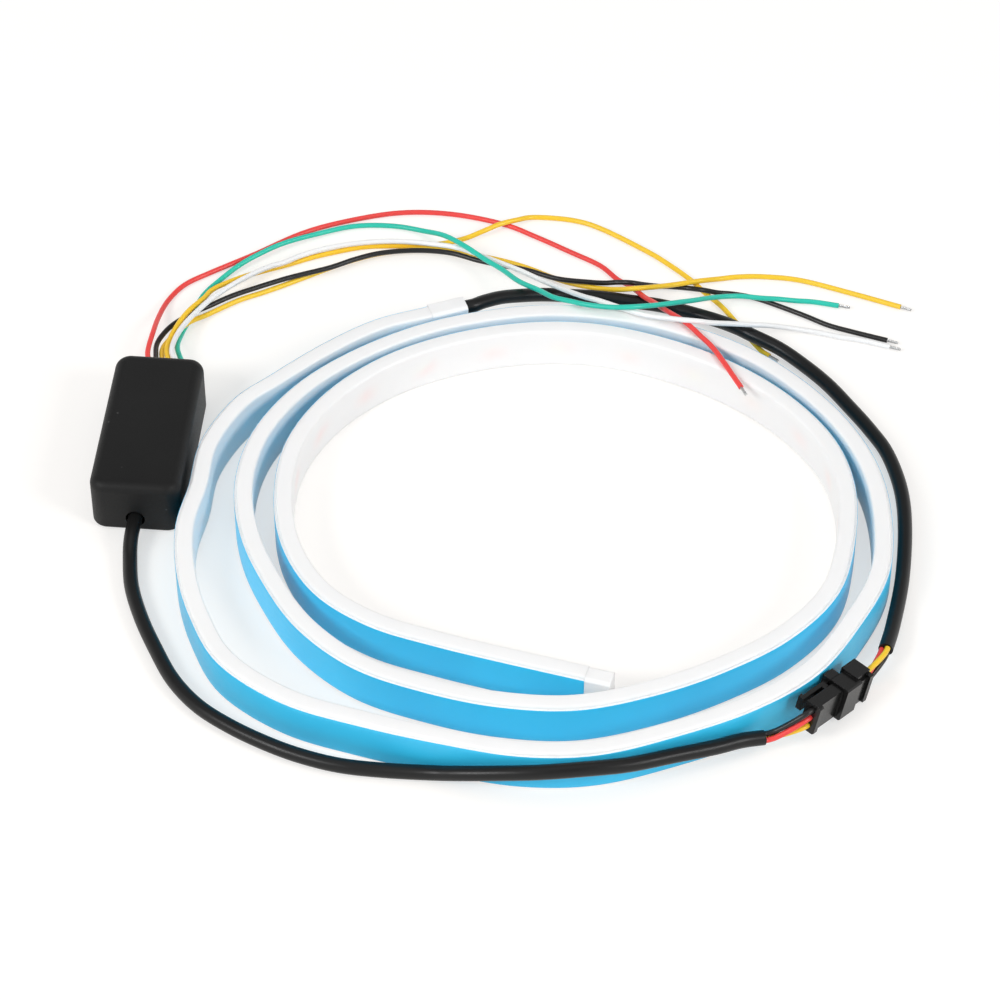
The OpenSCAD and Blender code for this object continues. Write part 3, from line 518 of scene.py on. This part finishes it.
hard_board = plain_finish("hard_board", (0.02, 0.16, 0.06), 0.35, variation=0.12, patch=250,
                          coat=0.4)
can = plain_finish("can", (0.68, 0.68, 0.70), 0.3, variation=0.05, grain=2400, metallic=1.0)


# Pieces

def add_object(name, data):
    piece = bpy.data.objects.new(name, data)
    bpy.context.scene.collection.objects.link(piece)
    return piece


def aim(thing, target):
    """Turns a camera or lamp to look at a point."""
    thing.rotation_euler = (target - thing.location).to_track_quat("-Z", "Y").to_euler()


def smooth_by_angle(piece, degrees):
    piece.data.shade_smooth()
    piece.data.set_sharp_from_angle(angle=math.radians(degrees))


def tube_piece(name, rings, materials):
    """An object skinned over rings of points in millimetres, with a face over each end."""
    count = len(rings[0])
    faces = []
    for i in range(len(rings) - 1):
        for j in range(count):
            a, b = i * count + j, i * count + (j + 1) % count
            faces.append((a, b, b + count, a + count))
    faces.append(tuple(range(count - 1, -1, -1)))
    faces.append(tuple((len(rings) - 1) * count + j for j in range(count)))
    mesh = bpy.data.meshes.new(name)
    mesh.from_pydata([to_metres(p) for ring in rings for p in ring], [], faces)
    mesh.validate()
    for material in materials:
        mesh.materials.append(material)
    piece = add_object(name, mesh)
    smooth_by_angle(piece, 40)
    return piece


def dress(piece, slot, *replaced):
    """A new piece rides on the only body and stands for CAD nodes."""
    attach(piece, "root")
    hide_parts(*replaced)
    return piece


def paint_node(name, material):
    data = nodes[name].data
    data.materials.clear()
    data.materials.append(material)


def modify(piece, kind, **settings):
    """Puts one modifier on a piece and applies it."""
    modifier = piece.modifiers.new(kind, kind)
    for name, value in settings.items():
        setattr(modifier, name, value)
    graph = bpy.context.evaluated_depsgraph_get()
    mesh = bpy.data.meshes.new_from_object(piece.evaluated_get(graph))
    piece.modifiers.clear()
    piece.data = mesh


def polished_copy(node, name, material, rounding_mm):
    """A copy of a CAD node with its edges rounded and its flat faces kept flat in shade."""
    mesh = nodes[node].data.copy()
    piece = add_object(name, mesh)
    work = bmesh.new()
    work.from_mesh(mesh)
    bmesh.ops.remove_doubles(work, verts=work.verts, dist=WELD * MM)
    bmesh.ops.dissolve_limit(work, angle_limit=math.radians(FLAT_ANGLE), verts=work.verts,
                             edges=work.edges)
    work.to_mesh(mesh)
    work.free()
    mesh.materials.clear()
    mesh.materials.append(material)
    modify(piece, "BEVEL", width=rounding_mm * MM, segments=3, limit_method="ANGLE",
           angle_limit=math.radians(EDGE_ANGLE), use_clamp_overlap=True)
    smooth_by_angle(piece, EDGE_ANGLE)
    modify(piece, "WEIGHTED_NORMAL", keep_sharp=True, weight=100)
    return piece


def new_curve(name, diameter, rounds, material):
    """A curve object that gives its splines a round section and closed ends."""
    curve = bpy.data.curves.new(name, "CURVE")
    curve.dimensions = "3D"
    curve.bevel_depth = diameter / 2 * MM
    curve.bevel_resolution = rounds
    curve.use_fill_caps = True
    curve.materials.append(material)
    return add_object(name, curve)


def curve_piece(name, points, diameter, material, rounds=4):
    """A round cord on one open smooth spline through the route's points."""
    piece = new_curve(name, diameter, rounds, material)
    piece.data.resolution_u = CORD_STEPS
    spline = piece.data.splines.new("BEZIER")
    spline.bezier_points.add(len(points) - 1)
    ends = with_ends(points)
    for i, knot in enumerate(spline.bezier_points):
        slope = (ends[i + 2] - ends[i]) / 6
        knot.handle_left_type = knot.handle_right_type = "FREE"
        knot.co = to_metres(points[i])
        knot.handle_left = to_metres(points[i] - slope)
        knot.handle_right = to_metres(points[i] + slope)
    return piece


# Camera, at the photograph's place

look_at = to_metres((*SHIFT, 0))
rise = math.radians(CAMERA_RISE)
camera_data = bpy.data.cameras.new("camera")
camera_data.sensor_width = SENSOR_W
camera_data.lens = SENSOR_W * FOCAL_PX / PHOTO_PX
camera = add_object("camera", camera_data)
camera.location = look_at + to_metres((0, -math.cos(rise), math.sin(rise))) * CAMERA_DISTANCE
aim(camera, look_at)
bpy.context.scene.camera = camera


# Bare leads

def stranded_tip(name, way):
    """The stripped end of a lead: six tinned strands twisted round a seventh."""
    path = smooth_way(way, CORD_SAMPLES)
    along = (path[-1] - path[-2]).normalized()
    side = along.orthogonal().normalized()
    other = along.cross(side)
    strand_d = TIP_D / 3
    piece = new_curve(name, strand_d * STRAND_SWELL, 2, tinned)
    for strand in range(STRANDS + 1):
        ring = strand_d if strand < STRANDS else 0
        spline = piece.data.splines.new("POLY")
        spline.points.add(STRAND_STEPS)
        for k, knot in enumerate(spline.points):
            share = k / STRAND_STEPS
            turn = math.radians(360 / STRANDS * strand + STRAND_TWIST * share)
            reach = TIP_L * share * (1 - STRAND_SHORT * (strand % 3))
            round_axis = side * math.cos(turn) + other * math.sin(turn)
            knot.co = (*to_metres(path[-1] + along * reach + round_axis * ring), 1)
    return piece


for lead_name, way in LEAD_WAYS.items():
    colour = lead_name.split("_")[0]
    route = placed(way)
    lead = curve_piece("insulation_" + lead_name, route, LEAD_D, wires[colour])
    dress(lead, "wire_" + colour, "lead_" + lead_name)
    tip = stranded_tip("strands_" + lead_name, route)
    dress(tip, "tinned", "tip_" + lead_name)


# Cables, with the cores that come out of their sheaths

def cap_point(x, z):
    """Point in the cable cap, x along the strip from its start, in line with the bore."""
    path = smooth_way(placed(STRIP_WAY), STRIP_SAMPLES)
    along = (path[1] - path[0]).normalized()
    outward = Vector((along.y, -along.x, 0))
    return path[0] + along * x + outward * CAP_BORE_SHIFT + Vector((0, 0, z))


def box_point(x, y, z):
    """Point in the controller's own frame."""
    turn = math.radians(BOX_TURN)
    return Vector((BOX_AT[0] + x * math.cos(turn) - y * math.sin(turn) + SHIFT[0],
                   BOX_AT[1] + x * math.sin(turn) + y * math.cos(turn) + SHIFT[1], z))


def conn_lift():
    """Height at which the tilted plug pair just stands on the floor."""
    tilt = math.radians(CONN_PITCH)
    lowest = max(SHROUD_L * math.sin(tilt) + SHROUD_H / 2 * math.cos(tilt),
                 CONN_BACK * math.sin(tilt) - FLANGE_LOW * math.cos(tilt))
    return lowest + SHROUD_T / 2 * math.sin(math.radians(CONN_ROLL))


def conn_point(x, y, z):
    """Point in the plug pair: X from the plug to the receptacle, Z up the row of contacts."""
    point = Vector((x, y, z))
    for degrees, axis in ((CONN_ROLL, "X"), (CONN_PITCH, "Y"), (CONN_TURN, "Z")):
        point = Matrix.Rotation(math.radians(degrees), 4, axis) @ point
    return point + Vector((CONN_AT[0] + SHIFT[0], CONN_AT[1] + SHIFT[1], conn_lift()))


def bow(a, slope_a, b, slope_b, count):
    """Curve from a to b that leaves along slope_a and arrives along slope_b."""
    points = []
    for i in range(count + 1):
        t = i / count
        points.append((2 * t ** 3 - 3 * t ** 2 + 1) * a + (t ** 3 - 2 * t ** 2 + t) * slope_a
                      + (3 * t ** 2 - 2 * t ** 3) * b + (t ** 3 - t ** 2) * slope_b)
    return points


def core_bow(end, along, degrees, mouth, arrival, count):
    """A core's way from its place in a sheath's end to its mouth, where it comes in line."""
    side = Vector((along.y, -along.x, 0)).normalized()
    up = side.cross(along)
    turn = math.radians(degrees)
    start = end + CORE_RING * (math.cos(turn) * side + math.sin(turn) * up) + 2 * FIT * along
    reach = CORE_PULL * (mouth - start).length
    return [start, *bow(start + CORE_STRAIGHT * along, reach * along, mouth, reach * arrival,
                        count)]


def core_way(cable_way, degrees, row, heading, mouth_x, seat_x):
    """A core's route from a sheath's end to its place in the plug pair's row of contacts."""
    path = smooth_way(cable_way, CORD_SAMPLES)
    along = (path[-1] - path[-2]).normalized()
    axis = (conn_point(1, 0, 0) - conn_point(0, 0, 0)).normalized()
    mouth, seat = conn_point(mouth_x, 0, row), conn_point(seat_x, 0, row)
    return [*core_bow(path[-1], along, degrees, mouth, heading * axis, 5),
            (mouth + seat) / 2, seat]


def plug_core_way(degrees, row):
    return core_way(controller_route, degrees, row, 1, -PLUG_L - CORE_STRAIGHT,
                    CONTACT_BACK - FIT)


def socket_core_way(degrees, row):
    return core_way(strip_route, degrees, row, -1, CONN_BACK + CORE_STRAIGHT, PIN_SEAT + FIT)


def inner_core_way(degrees, x):
    """A core's route from the sheath's end inside the controller to the board."""
    back = (controller_route[0] - controller_route[1]).normalized()
    inward = (box_point(0, 1, 0) - box_point(0, 0, 0)).normalized()
    board = box_point(x, PCB_FRONT, PCB_TOP + CORE_D / 2 + SOLDER_GAP)
    return [*core_bow(controller_route[0], back, degrees, board, inward, 3),
            board + SOLDER_L * inward]


def dress_cores(name, node, ways):
    """One core for each colour and its route."""
    return [dress(curve_piece(name + colour, way, CORE_D, wires[colour]), "wire_" + colour,
                  node + colour) for colour, way in ways.items()]


def dress_cable(name, node, route):
    cable = curve_piece(name, route, CABLE_D, jacket, rounds=7)
    dress(cable, "jacket", node)


controller_route = [box_point(0, y - BOX_L / 2, HOLE_Z) for y in (CABLE_IN_L, 0)]
controller_route += placed(CONTROLLER_CABLE_WAY)
strip_route = [cap_point(x - CAP_L, CAP_BORE_Z) for x in CAP_RUN]
strip_route += placed(STRIP_CABLE_WAY)

plug_cores = dress_cores("core_to_plug_", "plug_core_", {
    "black": plug_core_way(PLUG_CORE_TURN + CORE_STEP, PITCH),
    "red": plug_core_way(PLUG_CORE_TURN, 0),
    "yellow": plug_core_way(PLUG_CORE_TURN - CORE_STEP, -PITCH)})
socket_cores = dress_cores("core_to_receptacle_", "socket_core_", {
    "yellow": socket_core_way(SOCKET_CORE_TURN + CORE_STEP, PITCH),
    "red": socket_core_way(SOCKET_CORE_TURN, 0),
    "black": socket_core_way(SOCKET_CORE_TURN - CORE_STEP, -PITCH)})
inner_cores = dress_cores("core_in_box_", "inner_core_", {
    "black": inner_core_way(INNER_CORE_TURN, 0),
    "red": inner_core_way(INNER_CORE_TURN - CORE_STEP, INNER_CORE_X),
    "yellow": inner_core_way(INNER_CORE_TURN + CORE_STEP, -INNER_CORE_X)})

plug = polished_copy("plug_housing", "plug_moulding", plug_plastic, PLUG_ROUNDING)
dress(plug, "plug_plastic", "plug_housing")
receptacle = polished_copy("receptacle_housing", "receptacle_moulding", plug_plastic,
                           PLUG_ROUNDING)
dress(receptacle, "plug_plastic", "receptacle_housing")
for name in ("female_contacts", "male_contacts"):
    paint_node(name, contact)

dress_cable("sheath_to_plug", "cable_controller", controller_route)
dress_cable("sheath_to_receptacle", "cable_strip", strip_route)


# Strip

def strip_stations(samples):
    """Points of the strip's middle line, the outward sides there, and the way along it."""
    way = smooth_way(placed(STRIP_WAY), samples)
    sides = [Vector((h.y, -h.x, 0)) for h in headings(way)]
    along = [0.0]
    for a, b in zip(way, way[1:]):
        along.append(along[-1] + (b - a).length)
    return way, sides, along


def rounded_section(inner, outer, low, high, r, corner_steps):
    """Points round an upright oblong section, as (offset, height), its long sides in steps."""
    corners = [(inner + r, low + r, 180), (outer - r, low + r, 270),
               (outer - r, high - r, 0), (inner + r, high - r, 90)]
    arcs = []
    for x, z, start in corners:
        turns = [math.radians(start + 90 * i / corner_steps) for i in range(corner_steps + 1)]
        arcs.append([(x + r * math.cos(turn), z + r * math.sin(turn)) for turn in turns])
    section = []
    for k, arc in enumerate(arcs):
        section += arc
        if k % 2:
            (x0, z0), (x1, z1) = arc[-1], arcs[(k + 1) % 4][0]
            section += [(x0 + (x1 - x0) * i / SIDE_STEPS, z0 + (z1 - z0) * i / SIDE_STEPS)
                        for i in range(1, SIDE_STEPS)]
    return section


def swept_strip(name, section, samples, materials):
    """Sweeps a closed section along the strip."""
    way, sides, _ = strip_stations(samples)
    return tube_piece(name, [[p + side * off + Vector((0, 0, z)) for off, z in section]
                             for p, side in zip(way, sides)], materials)


def light_places():
    """Distances along the strip of the light sources on its board."""
    _, _, along = strip_stations(STRIP_SAMPLES)
    return [(along[i] + along[i + 1]) / 2 for i in range(1, len(along) - 3, STRIP_SAMPLES)]


def mark_light_face(sleeve, section):
    """Gives the inner face its own material, and each of its points its nearness to a light."""
    is_inner = [off < INNER_FACE + FACE_TOLERANCE for off, _ in section]
    for index, face in enumerate(sleeve.data.polygons[:-2]):
        here = index % len(section)
        face.material_index = int(is_inner[here] and is_inner[(here + 1) % len(section)])
    sources = light_places()
    _, _, along = strip_stations(SLEEVE_SAMPLES)
    strength = []
    for distance in along:
        nearest = min(abs(distance - source) for source in sources)
        for (_, z), inner in zip(section, is_inner):
            reach = (nearest / TINT_REACH) ** 2 + ((z - STRIP_W / 2) / TINT_RISE) ** 2
            strength.append(TINT * math.exp(-reach) if inner else 0.0)
    tint = sleeve.data.attributes.new("light_tint", "FLOAT", "POINT")
    tint.data.foreach_set("value", strength)


sleeve_section = rounded_section(INNER_FACE, SLEEVE_OUT, 0.0, STRIP_W, SLEEVE_R, 4)
sleeve = swept_strip("silicone_sleeve", sleeve_section, SLEEVE_SAMPLES, [silicone, light_face])
mark_light_face(sleeve, sleeve_section)
dress(sleeve, "silicone", "strip_sleeve")

tape_section = rounded_section(SLEEVE_OUT, TAPE_OUT, TAPE_LOW, TAPE_HIGH, TAPE_R, 2)
tape = swept_strip("foam_mounting_tape", tape_section, TAPE_SAMPLES, [foam])
dress(tape, "foam", "foam_tape")

film_in = TAPE_OUT + FILM_GAP
film_section = rounded_section(film_in, film_in + FILM_T, TAPE_LOW, TAPE_HIGH, FILM_R, 2)
film = swept_strip("backing_film", film_section, SLEEVE_SAMPLES, [liner])
dress(film, "liner", "release_liner")

cable_cap = polished_copy("cable_end_cap", "cap_at_cable", silicone, CAP_ROUNDING)
dress(cable_cap, "silicone", "cable_end_cap")
tail_cap = polished_copy("tail_end_cap", "cap_at_tail", silicone, CAP_ROUNDING)
dress(tail_cap, "silicone", "tail_end_cap")

paint_node("strip_board", flex_board)
paint_node("strip_lights", light_source)
for name in ("strip_driver_chips", "strip_resistors"):
    paint_node(name, chip)


# Controller

def oblong_ring(length, width, radius, inset, z, steps=10):
    """Ring of an oblong with round corners, drawn in by inset, in the controller's own frame."""
    r = max(radius - inset, 0.3)
    x, y = width / 2 - inset - r, length / 2 - inset - r
    ring = []
    for quarter, (sx, sy) in enumerate([(1, 1), (-1, 1), (-1, -1), (1, -1)]):
        for k in range(steps + 1):
            turn = math.radians(quarter * 90 + k * 90 / steps)
            ring.append(Vector((sx * x + r * math.cos(turn), sy * y + r * math.sin(turn), z)))
    return ring


def edge_rings(radius, face_z, upward, turns):
    """Rings round a rounded edge. upward is 1 where the box lies above the face, and else -1."""
    rings = []
    for turn in map(math.radians, turns):
        rings.append(oblong_ring(BOX_L, BOX_W, BOX_R, radius * (1 - math.cos(turn)),
                                 face_z + upward * radius * (1 - math.sin(turn))))
    return rings


def cut_with(piece, cutter):
    modify(piece, "BOOLEAN", operation="DIFFERENCE", solver="EXACT", object=cutter)
    bpy.data.objects.remove(cutter)


def controller_shell():
    """The cover: rounded outside, hollow from below, with a cable hole and a lead slot."""
    top = edge_rings(BOX_EDGE_R, BOX_H, -1, range(90, -1, -10))
    foot = edge_rings(BOX_FOOT_R, 0, 1, range(0, 90, 18))
    ceiling = BOX_H - BOX_WALL
    room = [oblong_ring(ROOM_L, ROOM_W, ROOM_R, inset, z)
            for inset, z in ((0, 0), (0, ceiling - ROOM_BEVEL), (ROOM_BEVEL, ceiling))]
    shell = tube_piece("controller_shell", top + foot + room, [box_plastic])
    work = bmesh.new()
    work.from_mesh(shell.data)
    bmesh.ops.recalc_face_normals(work, faces=work.faces)
    work.to_mesh(shell.data)
    work.free()

    turns = [math.radians(a) for a in range(0, 360, 10)]
    hole = [[Vector((HOLE_D / 2 * math.cos(a), y, HOLE_Z + HOLE_D / 2 * math.sin(a)))
             for a in turns] for y in (BOX_WALL - BOX_L / 2 + CUT_PAST, -BOX_L / 2 - CUT_PAST)]
    cut_with(shell, tube_piece("hole_cutter", hole, []))

    half_w, half_h = 3 * LEAD_STEP + SLOT_GAP, LEAD_D / 2 + SLOT_GAP
    slot = [[Vector((LEAD_MID + sx * half_w, y, LEAD_Z + sz * half_h))
             for sx, sz in ((-1, -1), (1, -1), (1, 1), (-1, 1))]
            for y in (BOX_L / 2 + CUT_PAST, BOX_L / 2 - BOX_WALL - CUT_PAST)]
    cut_with(shell, tube_piece("slot_cutter", slot, []))

    shell.data.transform(Matrix.Translation(to_metres(box_point(0, 0, 0)))
                         @ Matrix.Rotation(math.radians(BOX_TURN), 4, "Z"))
    smooth_by_angle(shell, 40)
    return shell


dress(controller_shell(), "box_plastic", "controller_cover")
plate = polished_copy("controller_plate", "bottom_plate", box_plastic, PLATE_ROUNDING)
dress(plate, "box_plastic", "controller_plate")
paint_node("controller_board", hard_board)
for name in ("processor", "switches", "regulator", "resistors"):
    paint_node("controller_" + name, chip)
paint_node("controller_capacitor", can)


# Floor, world and lamps, with their places in metres

FLOOR_SIZE = 6.0
FLOOR_DROP = 0.0002
FLOOR_PAPER = (0.86, 0.86, 0.86)
FLOOR_GLOW = 0.56
FLOOR_SHADE = (0.52, 0.5, 0.475)
AMBIENT = 0.425
WHITE = (1, 1, 1)
DIM_SKY = (0.3, 0.3, 0.3)
LAMPS = [("left", (-0.95, -0.75, 1.0), 0.45, 10.8), ("right", (1.05, -0.65, 0.9), 0.45, 8.1),
         ("overhead", (0, 0.1, 1.3), 1.0, 2.0)]


def add_shader(tree, kind, colour, strength=None):
    """A shader of one colour, and of a strength if it gives light."""
    shader = tree.nodes.new(kind)
    shader.inputs["Color"].default_value = (*colour, 1)
    if strength is not None:
        shader.inputs["Strength"].default_value = strength
    return shader.outputs[0]


def join_shaders(tree, kind, *sources):
    """An add or mix shader, with its sources in the order of its inputs."""
    join = tree.nodes.new(kind)
    for source, socket in zip(sources, join.inputs):
        tree.links.new(source, socket)
    return join.outputs[0]


def any_of(tree, *sockets):
    """1 where any of the sockets is 1, and else 0."""
    found = sockets[0]
    for socket in sockets[1:]:
        larger = tree.nodes.new("ShaderNodeMath")
        larger.operation = "MAXIMUM"
        tree.links.new(found, larger.inputs[0])
        tree.links.new(socket, larger.inputs[1])
        found = larger.outputs[0]
    return found


def floor_finish():
    """White floor: it gives the white background and keeps the object's soft shadow."""
    material, tree, output = new_material("floor")
    rays = tree.nodes.new("ShaderNodeLightPath").outputs
    seen = any_of(tree, rays["Is Glossy Ray"], rays["Is Transmission Ray"],
                  rays["Is Camera Ray"])
    paper = add_shader(tree, "ShaderNodeBsdfDiffuse", FLOOR_PAPER)
    glow = add_shader(tree, "ShaderNodeEmission", WHITE, FLOOR_GLOW)
    shade = add_shader(tree, "ShaderNodeBsdfDiffuse", FLOOR_SHADE)
    shown = join_shaders(tree, "ShaderNodeAddShader", glow, shade)
    choice = join_shaders(tree, "ShaderNodeMixShader", seen, paper, shown)
    tree.links.new(choice, output.inputs["Surface"])
    return material


def studio_world():
    """White for the camera, even soft light, and a sky that is dimmer overhead in mirrors."""
    world = bpy.data.worlds.new("studio")
    world.use_nodes = True
    tree = world.node_tree
    tree.nodes.clear()
    output = tree.nodes.new("ShaderNodeOutputWorld")
    rays = tree.nodes.new("ShaderNodeLightPath").outputs
    ambient = add_shader(tree, "ShaderNodeBackground", WHITE, AMBIENT)
    shown = add_shader(tree, "ShaderNodeBackground", WHITE, 1.0)
    sky = tree.nodes.new("ShaderNodeTexCoord")
    height = tree.nodes.new("ShaderNodeSeparateXYZ")
    tree.links.new(sky.outputs["Generated"], height.inputs["Vector"])
    mirrored = tree.nodes.new("ShaderNodeBackground")
    tree.links.new(add_ramp(tree, height.outputs["Z"], [(0.2, WHITE), (0.62, DIM_SKY)]),
                   mirrored.inputs["Color"])
    in_mirror = any_of(tree, rays["Is Glossy Ray"], rays["Is Transmission Ray"])
    light = join_shaders(tree, "ShaderNodeMixShader", in_mirror, ambient, mirrored.outputs[0])
    choice = join_shaders(tree, "ShaderNodeMixShader", rays["Is Camera Ray"], light, shown)
    tree.links.new(choice, output.inputs["Surface"])
    return world


bpy.ops.mesh.primitive_plane_add(size=FLOOR_SIZE, location=(0, 0, -FLOOR_DROP))
floor = bpy.context.active_object
floor.name = "floor"
floor.data.materials.append(floor_finish())

bpy.context.scene.world = studio_world()

for name, place, side, watts in LAMPS:
    lamp_data = bpy.data.lights.new(name, "AREA")
    lamp_data.shape = "SQUARE"
    lamp_data.size = side
    lamp_data.energy = watts
    lamp = add_object(name, lamp_data)
    lamp.location = place
    aim(lamp, Vector((0, 0, 0)))

bpy.context.scene.view_settings.view_transform = "Standard"
